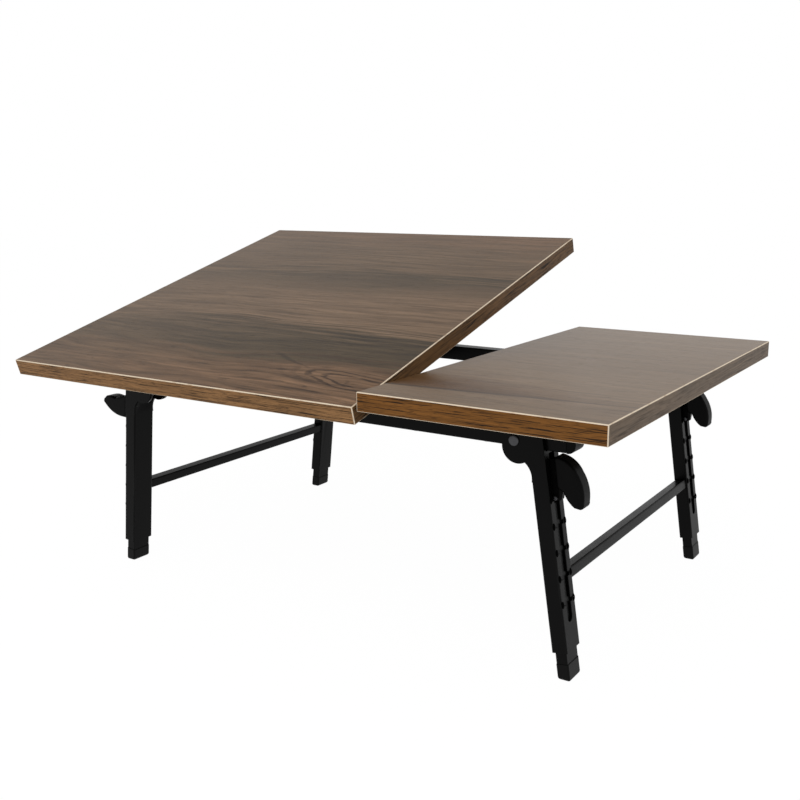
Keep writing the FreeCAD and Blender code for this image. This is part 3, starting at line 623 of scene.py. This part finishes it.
# %% Bevels and new pieces
def new_piece(name, mesh, body, slot, *materials):
    """Put a finished mesh in the scene, riding on a body."""
    piece = put(name, mesh)
    paint(piece, *materials)
    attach(piece, body)
    return piece


def settled(piece):
    """A plain mesh of a piece after its modifiers."""
    graph = bpy.context.evaluated_depsgraph_get()
    return bpy.data.meshes.new_from_object(piece.evaluated_get(graph), depsgraph=graph)


def weigh_edges(shape, weights):
    """Give each edge the weight of the first group of corners that holds both its ends."""
    layer = shape.edges.layers.float.new("bevel_weight_edge")
    for edge in shape.edges:
        for group, weight in weights:
            if set(edge.verts) <= set(group):
                edge[layer] = weight
                break


def plain_mesh(name, shape):
    """A mesh from an edited shape, which is then let go."""
    mesh = bpy.data.meshes.new(name)
    shape.to_mesh(mesh)
    shape.free()
    return mesh


def bevelled(mesh, width, segments, rim_index):
    """The mesh after a weighted Bevel modifier, whose new faces take one material."""
    rough = put("rough", mesh)
    for _ in range(rim_index + 1):
        mesh.materials.append(None)
    trim = rough.modifiers.new("trim", "BEVEL")
    trim.limit_method = "WEIGHT"
    trim.width = width
    trim.segments = segments
    trim.material = rim_index
    trim.use_clamp_overlap = False
    done = settled(rough)
    bpy.data.objects.remove(rough)
    return done


print("bevel helpers ready")

# %% Build the rings
BAND = 0.0008
TOP_TRIM = 0.00072
LOW_TRIM = 0.0004
SIDEWAYS = 0.7


def band_ring(x_low, x_high, y_low, y_high, z_low, z_high):
    """A rectangular ring of band whose outer edges are weighted for the bevel."""
    ring = bmesh.new()
    outer = [(x_low, y_low), (x_high, y_low), (x_high, y_high), (x_low, y_high)]
    inner = [(x_low + BAND, y_low + BAND), (x_high - BAND, y_low + BAND),
             (x_high - BAND, y_high - BAND), (x_low + BAND, y_high - BAND)]
    rows = [[ring.verts.new((x, y, z)) for x, y in loop] for loop in (outer, inner) for z in (z_low, z_high)]
    out_low, out_high, in_low, in_high = rows
    for k in range(4):
        n = (k + 1) % 4
        ring.faces.new((out_low[k], out_low[n], out_high[n], out_high[k]))
        ring.faces.new((in_low[n], in_low[k], in_high[k], in_high[n]))
        ring.faces.new((out_high[k], out_high[n], in_high[n], in_high[k]))
        ring.faces.new((out_low[n], out_low[k], in_low[k], in_low[n]))
    ring.normal_update()
    weigh_edges(ring, [(out_high, 1.0), (out_low, LOW_TRIM / TOP_TRIM), (out_low + out_high, 1.0)])
    return plain_mesh("band_ring", ring)


def edge_band(node, body, lift, foils):
    """The band of one board: foil on its sides, bare rim on its trimmed corners."""
    low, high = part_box("fixed_board_edge_bands")
    x_low, x_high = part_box(node)[0].x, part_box(node)[1].x
    ring = bevelled(band_ring(x_low, x_high, low.y, high.y, low.z, high.z), TOP_TRIM, 2, 2)
    for face in ring.polygons:
        if face.material_index == 0 and abs(face.normal.x) > SIDEWAYS:
            face.material_index = 1
    ring.transform(lift)
    piece = new_piece(node + "_trimmed", ring, body, "walnut_edge_band", foils[0], foils[1], rim_core)
    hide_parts(node)
    print(piece.name, len(ring.polygons), "faces")


edge_band("fixed_board_edge_bands", "frame", level, narrow_foil)
edge_band("tilting_board_edge_bands", "tilting_top", raised, wide_foil)

# %% [markdown]
# ## Eased steel and plastic
# Pressed and welded steel never has a razor edge: tube corners are rounded and sheet edges are eased by
# the coating. A Bevel on the CAD mesh would do it, but CAD meshes stay as they are, so each visible node
# gets a copy: merged, cleaned of the flat triangles, bevelled on its outer edges and shaded by face area.

# %% Ease a copy of a node
MERGE = 1e-6
SLIVER = 2e-6
FLAT_ANGLE = math.radians(0.6)
SHARP_ANGLE = math.radians(35)
LONG_EDGE = 0.006


def merged_copy(node):
    """A node's mesh with its loose triangles joined, ready to edit."""
    shape = bmesh.new()
    shape.from_mesh(frame["nodes"][node].data)
    bmesh.ops.remove_doubles(shape, verts=shape.verts, dist=MERGE)
    return shape


def eased_mesh(node, width, segments, chosen):
    """A copy of a node's mesh whose chosen convex edges are rounded."""
    shape = merged_copy(node)
    bmesh.ops.dissolve_limit(shape, angle_limit=FLAT_ANGLE, verts=shape.verts, edges=shape.edges)
    shape.normal_update()
    corners = [edge for edge in shape.edges if edge.is_manifold and edge.is_convex]
    sharp = [edge for edge in corners if edge.calc_face_angle() > SHARP_ANGLE and chosen(edge)]
    bmesh.ops.bevel(shape, geom=sharp, offset=width, segments=segments, profile=0.5,
                    affect="EDGES", clamp_overlap=False)
    bmesh.ops.remove_doubles(shape, verts=shape.verts, dist=SLIVER)
    bmesh.ops.dissolve_degenerate(shape, edges=shape.edges, dist=SLIVER)
    for face in shape.faces:
        face.smooth = True
    mesh = plain_mesh(node + "_eased", shape)
    if "custom_normal" in mesh.attributes:
        mesh.attributes.remove(mesh.attributes["custom_normal"])
    return mesh


def face_weighted(mesh):
    """The mesh with normals that follow its large faces."""
    rough = put("rough", mesh)
    shading = rough.modifiers.new("shading", "WEIGHTED_NORMAL")
    shading.weight = 80
    done = settled(rough)
    bpy.data.objects.remove(rough)
    return done


def ease(node, width_mm, segments=2, chosen=lambda edge: True):
    """Replace a node by its eased copy."""
    mesh = face_weighted(eased_mesh(node, width_mm / MM, segments, chosen))
    slot = slot_of_node[node]
    piece = new_piece(node + "_eased", mesh, body_of_node[node], slot, finish_of_slot[slot])
    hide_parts(node)
    return piece


def long_edge(edge):
    """True for the long straight corners of a tube."""
    return edge.calc_length() > LONG_EDGE


print("easing helpers ready")

# %% [markdown]
# ## Rails, members and legs
# The rails and cross bars are square tube with rounded corners, so only their long edges are rolled over,
# by a larger radius. Sleeves and inner legs are folded sheet and get a finer edge.

# %% Ease the frame and the legs
SIDES = ("left", "right")
ENDS = ("front", "rear")
CORNERS = [side + "_" + end for side in SIDES for end in ENDS]
RAIL_MM, MEMBER_MM, BAR_MM, SLEEVE_MM, LEG_MM = 1.2, 1.0, 1.4, 0.45, 0.4
eased = [ease(node, RAIL_MM, 3, long_edge) for node in ("front_rail", "rear_rail")]
eased += [ease("cross_member_" + place, MEMBER_MM, 3, long_edge) for place in ("left", "right", "fixed_side")]
eased += [ease(side + "_cross_bar", BAR_MM, 3, long_edge) for side in SIDES]
eased += [ease(corner + "_sleeve", SLEEVE_MM, 2, long_edge) for corner in CORNERS]
eased += [ease(corner + "_inner_leg", LEG_MM) for corner in CORNERS]
print("eased", len(eased), "frame and leg pieces")

# %% [markdown]
# ## Rubber feet
# Each leg ends in a moulded rubber boot. Its sole is cut level although the leg leans, and its edges are
# well rounded, more at the sole than at the lip. One bevel can't give three radii, so the edges carry
# weights, as on the bands. The boot is drawn in the leg's own directions: out, across and down.

# %% Mould the boots
BOOT_ROUND = 0.0022
CORNER_WEIGHT = 0.62
LIP_WEIGHT = 0.16
BOOT_WALL = 0.00045
BOOT_SOCKET = 0.0065


def boot_mesh(corner):
    """A boot with a level sole, a socket for the leg and weighted edges, from the CAD cap's extent."""
    down = Vector(joints[corner + "_leg_slide"]["axis"]).normalized()
    across = Vector((0.0, 1.0, 0.0))
    out = across.cross(down)
    points = [vert.co for vert in frame["nodes"][corner + "_foot_cap"].data.vertices]
    w_low, w_high = min(p.dot(out) for p in points), max(p.dot(out) for p in points)
    y_low, y_high = min(p.y for p in points), max(p.y for p in points)
    lip = min(p.dot(down) for p in points)
    boot = bmesh.new()

    def ring(inset, height):
        """Four corners, at a height down the leg or, for None, on the floor."""
        spots = [(w_low + inset, y_low + inset), (w_high - inset, y_low + inset),
                 (w_high - inset, y_high - inset), (w_low + inset, y_high - inset)]
        floor_at = [-out.z * w / down.z for w, y in spots]
        heights = floor_at if height is None else [height] * 4
        return [boot.verts.new(out * w + across * y + down * h) for (w, y), h in zip(spots, heights)]

    rings = [ring(0.0, None), ring(0.0, lip), ring(BOOT_WALL, lip), ring(BOOT_WALL, lip + BOOT_SOCKET)]
    for low, high in zip(rings, rings[1:]):
        for k in range(4):
            boot.faces.new((low[k], low[k - 1], high[k - 1], high[k]))
    boot.faces.new(rings[0])
    boot.faces.new(rings[3])
    bmesh.ops.recalc_face_normals(boot, faces=boot.faces)
    weigh_edges(boot, [(rings[0], 1.0), (rings[1], LIP_WEIGHT), (rings[0] + rings[1], CORNER_WEIGHT)])
    return plain_mesh("boot", boot)


for corner in CORNERS:
    mesh = bevelled(boot_mesh(corner), BOOT_ROUND, 4, 0)
    mesh.shade_smooth()
    boot = new_piece(corner + "_boot", face_weighted(mesh), corner + "_slider", "black_rubber", rubber)
    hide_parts(corner + "_foot_cap")
print("moulded", len(CORNERS), "boots of", len(mesh.polygons), "faces")

# %% [markdown]
# ## Lock levers
# Each lever has a flat tongue inside the sleeve and a broad curved wing that a thumb pushes. The wing is
# moulded with a generous round, so only the edges on its two broad sides are eased, and by more.

# %% Ease the levers
LEVER_MM = 2.4
FLUSH = 0.0003


def wing_edge(node):
    """A test for edges that lie on the two outermost faces of a lever."""
    low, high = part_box(node)

    def chosen(edge):
        """Both ends of the edge lie flush with the lever's front or rear side."""
        return all(min(v.co.y - low.y, high.y - v.co.y) < FLUSH for v in edge.verts)

    return chosen


levers = [ease(corner + "_lever", LEVER_MM, 5, wing_edge(corner + "_lever")) for corner in CORNERS]
print("eased", len(levers), "levers")

# %% [markdown]
# ## Screws and bolts
# Every screw of a kind is alike, so we model one with a domed head and a cross recess and let Geometry
# Nodes set it at each place. The places come from the CAD screws: each loose part gives its axis, the side
# its head is on and its sizes. The tree ends in real geometry, because instances are lost in an export.

# %% Read where the CAD fasteners sit
def loose_parts(node, lay):
    """Corner points of each of a node's separate solids, laid flat by a matrix."""
    shape = merged_copy(node)
    left = set(shape.verts)
    groups = []
    for start in shape.verts:
        if start not in left:
            continue
        left.remove(start)
        stack = [start]
        group = []
        while stack:
            vert = stack.pop()
            group.append(lay @ vert.co)
            for edge in vert.link_edges:
                other = edge.other_vert(vert)
                if other in left:
                    left.remove(other)
                    stack.append(other)
        groups.append(group)
    shape.free()
    return groups


def measure_fastener(points):
    """Seat, facing, head radius, head height, shank radius and length of one CAD fastener."""
    low = Vector([min(p[k] for p in points) for k in range(3)])
    high = Vector([max(p[k] for p in points) for k in range(3)])
    size = high - low
    axis = max(range(3), key=lambda k: size[k])
    middle = (low + high) / 2
    arms = [p - middle for p in points]
    for arm in arms:
        arm[axis] = 0.0
    radial = [arm.length for arm in arms]
    widest = max(radial)
    head = [p[axis] for p, r in zip(points, radial) if r > widest * 0.97]
    shank_r = max(r for r in radial if r < widest * 0.9)
    facing = 1.0 if (max(head) + min(head)) / 2 > middle[axis] else -1.0
    seat = middle.copy()
    seat[axis] = min(head) if facing > 0 else max(head)
    tip = low[axis] if facing > 0 else high[axis]
    way = Vector([facing if k == axis else 0.0 for k in range(3)])
    return seat, way, widest, max(head) - min(head), shank_r, abs(seat[axis] - tip)


bolt_seats = [measure_fastener(group)[0] for group in loose_parts("left_pivot_bolts", level)]
print("left bolts at", [tuple(round(v, 4) for v in seat) for seat in bolt_seats])

# %% [markdown]
# ## One fastener, then many
# The pattern screw is turned from a profile, as on a lathe, and a Boolean cuts the cross recess. The
# pivot bolts have plain domed heads, so theirs is left whole. The tree takes the places, the pattern screw
# and the finish as named inputs, and reads each place's facing from an attribute.

# %% Turn a pattern screw
LATHE_STEPS = 28
DOME_STEPS = 6
HEAD_EDGE = 0.35
RECESS_LONG, RECESS_SHORT = 1.15, 0.26


def turned(name, profile):
    """A closed mesh turned about Z from (radius, height) points that start and end on the axis."""
    lathe = bmesh.new()
    rows = []
    for radius, height in profile:
        if radius < 1e-7:
            rows.append([lathe.verts.new((0, 0, height))])
            continue
        angles = [2 * math.pi * k / LATHE_STEPS for k in range(LATHE_STEPS)]
        rows.append([lathe.verts.new((radius * math.cos(a), radius * math.sin(a), height)) for a in angles])
    for low, high in zip(rows, rows[1:]):
        for k in range(LATHE_STEPS):
            n = k + 1
            corners = [low[k % len(low)], low[n % len(low)], high[n % len(high)], high[k % len(high)]]
            lathe.faces.new(list(dict.fromkeys(corners)))
    bmesh.ops.recalc_face_normals(lathe, faces=lathe.faces)
    return plain_mesh(name, lathe)


def pattern_screw(head_r, head, shank_r, length, crossed):
    """One screw with a domed head, plain or with a cross recess, its seat at the origin, facing +Z."""
    angles = [math.pi / 2 / DOME_STEPS * k for k in range(DOME_STEPS)]
    dome = [(head_r * math.cos(a), head * (HEAD_EDGE + (1.0 - HEAD_EDGE) * math.sin(a))) for a in angles]
    shank = [(0, -length), (shank_r, -length), (shank_r, 0), (head_r, 0)]
    mesh = turned("pattern_screw", shank + dome + [(0, head)])
    screw = put("pattern_screw", mesh)
    if not crossed:
        mesh.shade_smooth()
        return screw
    cross = bmesh.new()
    long, short = head_r * RECESS_LONG, head_r * RECESS_SHORT
    for arm in ((long, short, head), (short, long, head)):
        made = bmesh.ops.create_cube(cross, size=1.0)
        bmesh.ops.scale(cross, vec=arm, verts=made["verts"])
        bmesh.ops.translate(cross, vec=(0, 0, head * 1.05), verts=made["verts"])
    bit = put("recess", plain_mesh("recess", cross))
    cut = screw.modifiers.new("recess", "BOOLEAN")
    cut.object = bit
    cut.solver = "EXACT"
    cut.use_self = True
    done = settled(screw)
    screw.modifiers.clear()
    screw.data = done
    bpy.data.objects.remove(bit)
    return screw


print("pattern screw helper ready")

# %% Trees that grow on places
def new_tree(name, inputs):
    """An empty Geometry Nodes tree with named inputs and one geometry output."""
    tree = bpy.data.node_groups.new(name, "GeometryNodeTree")
    for label, kind in inputs:
        tree.interface.new_socket(label, in_out="INPUT", socket_type="NodeSocket" + kind)
    tree.interface.new_socket("Made", in_out="OUTPUT", socket_type="NodeSocketGeometry")
    return tree


def aim_by_facing(tree):
    """A rotation that points Z along each place's facing."""
    named = {"data_type": "FLOAT_VECTOR"}
    facing = tree.node("GeometryNodeInputNamedAttribute", named, {"Name": "facing"}, out="Attribute")
    return tree.node("FunctionNodeAlignRotationToVector", {"axis": "Z"}, {"Vector": facing})


def grow(name, points, facings, tree, values):
    """Run a tree on bare points with a facing each, and give back the plain mesh."""
    spots = bpy.data.meshes.new(name)
    spots.from_pydata(points, [], [])
    attribute = spots.attributes.new("facing", "FLOAT_VECTOR", "POINT")
    for item, facing in zip(attribute.data, facings):
        item.vector = facing
    holder = put(name, spots)
    grower = holder.modifiers.new("grow", "NODES")
    grower.node_group = tree
    for item in tree.interface.items_tree:
        if item.in_out == "INPUT" and item.name in values:
            grower[item.identifier] = values[item.name]
    mesh = settled(holder)
    bpy.data.objects.remove(holder)
    return mesh


print("growing helpers ready")

# %% Tree that sets a pattern at each place
fastener_inputs = [("Places", "Geometry"), ("Pattern", "Object"), ("Finish", "Material")]
fastener_tree = new_tree("set_fasteners", fastener_inputs)
setter = Tree(fastener_tree)
given = setter.node("NodeGroupInput", out="Places")
one = setter.node("GeometryNodeObjectInfo", {}, {"Object": given.also("Pattern")}, out="Geometry")
placed = {"Points": given, "Instance": one, "Rotation": aim_by_facing(setter)}
many = setter.node("GeometryNodeInstanceOnPoints", {}, placed)
real = setter.node("GeometryNodeRealizeInstances", {}, {"Geometry": many})
done = setter.node("GeometryNodeSetMaterial", {}, {"Geometry": real, "Material": given.also("Finish")})
setter.node("NodeGroupOutput", {}, {"Made": done})
print("fastener tree has", len(fastener_tree.nodes), "nodes")

# %% Set every screw and bolt
def set_fasteners(node, lift=level, crossed=True):
    """Replace a node of screws by domed ones in the same places."""
    found = [measure_fastener(group) for group in loose_parts(node, lift.inverted())]
    seats = [lift @ item[0] for item in found]
    ways = [lift.to_3x3() @ item[1] for item in found]
    screw = pattern_screw(*found[0][2:], crossed)
    mesh = grow(node + "_set", seats, ways, fastener_tree, {"Pattern": screw, "Finish": dark_plate})
    bpy.data.objects.remove(screw)
    piece = new_piece(node + "_set", mesh, body_of_node[node], slot_of_node[node], dark_plate)
    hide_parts(node)
    print(node, len(found), "set,", len(mesh.polygons), "faces")


for node in ("left_pivot_bolts", "right_pivot_bolts"):
    set_fasteners(node, crossed=False)
for node in ("board_screws", "stay_guide_screws", "hinge_rail_screws"):
    set_fasteners(node)
for node in ("stay_screws", "hinge_board_screws"):
    set_fasteners(node, raised)

# %% [markdown]
# ## Detent lugs on the sleeves
# Down the outer face of each sleeve, both sides of the slot carry small half-round lugs, one pair to a
# notch, which guide the lock pin. They repeat at the notch pitch, so the tree runs a line of points from
# the first notch down the leg, and sets a flattened round lug on each point.

# %% Tree for a line of lugs
LUG_SEGMENTS, LUG_RINGS = 16, 8
lug_inputs = [("Places", "Geometry"), ("Notches", "Int"), ("Pitch", "Vector"), ("Lug size", "Vector"),
              ("Finish", "Material")]
lug_tree = new_tree("detent_lugs", lug_inputs)
setter = Tree(lug_tree)
given = setter.node("NodeGroupInput", out="Places")
line = setter.node("GeometryNodeMeshLine", {"mode": "OFFSET", "count_mode": "TOTAL"},
                   {"Count": given.also("Notches"), "Offset": given.also("Pitch")})
rows = setter.node("GeometryNodeInstanceOnPoints", {}, {"Points": given, "Instance": line})
points = setter.node("GeometryNodeRealizeInstances", {}, {"Geometry": rows})
round_lug = {"Segments": LUG_SEGMENTS, "Rings": LUG_RINGS, "Radius": 1.0}
lug = setter.node("GeometryNodeMeshUVSphere", {}, round_lug)
placed = {"Points": points, "Instance": lug, "Rotation": aim_by_facing(setter)}
many = setter.node("GeometryNodeInstanceOnPoints", {}, {**placed, "Scale": given.also("Lug size")})
real = setter.node("GeometryNodeRealizeInstances", {}, {"Geometry": many})
smooth = setter.node("GeometryNodeSetShadeSmooth", {}, {"Geometry": real})
done = setter.node("GeometryNodeSetMaterial", {}, {"Geometry": smooth, "Material": given.also("Finish")})
setter.node("NodeGroupOutput", {}, {"Made": done})
print("lug tree has", len(lug_tree.nodes), "nodes")

# %% Lugs on both leg pairs
NOTCHES = 5
NOTCH_PITCH = 0.020
FIRST_NOTCH = 0.0455
FACE_OUT = 0.0230
LUG_SIDE = 0.0093
LUG_SIZE = (0.0030, 0.0017, 0.0011)


def detent_lugs(side):
    """One mesh of lugs for both sleeves of a leg pair."""
    pivot = Vector(joints[side + "_leg_fold"]["pos_m"])
    down = Vector(joints[side + "_front_leg_slide"]["axis"])
    out = Vector((down.z, 0, -down.x)) if side == "left" else Vector((-down.z, 0, down.x))
    spots = []
    for end in ENDS:
        low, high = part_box(side + "_" + end + "_sleeve")
        for way in (-1, 1):
            spot = pivot + out * FACE_OUT + down * FIRST_NOTCH
            spots.append((spot.x, (low.y + high.y) / 2 + way * LUG_SIDE, spot.z))
    # The lugs take the darker coat of painted notch shade.
    values = {"Notches": NOTCHES, "Pitch": down * NOTCH_PITCH, "Lug size": LUG_SIZE, "Finish": notch_shade_coat}
    mesh = grow(side + "_detent_lugs", spots, [out] * len(spots), lug_tree, values)
    piece = new_piece(side + "_detent_lugs", mesh, side + "_legs", "black_steel", notch_shade_coat)
    print(piece.name, "at", [tuple(round(c, 4) for c in s) for s in spots[:1]], len(mesh.polygons), "faces")


for side in SIDES:
    detent_lugs(side)
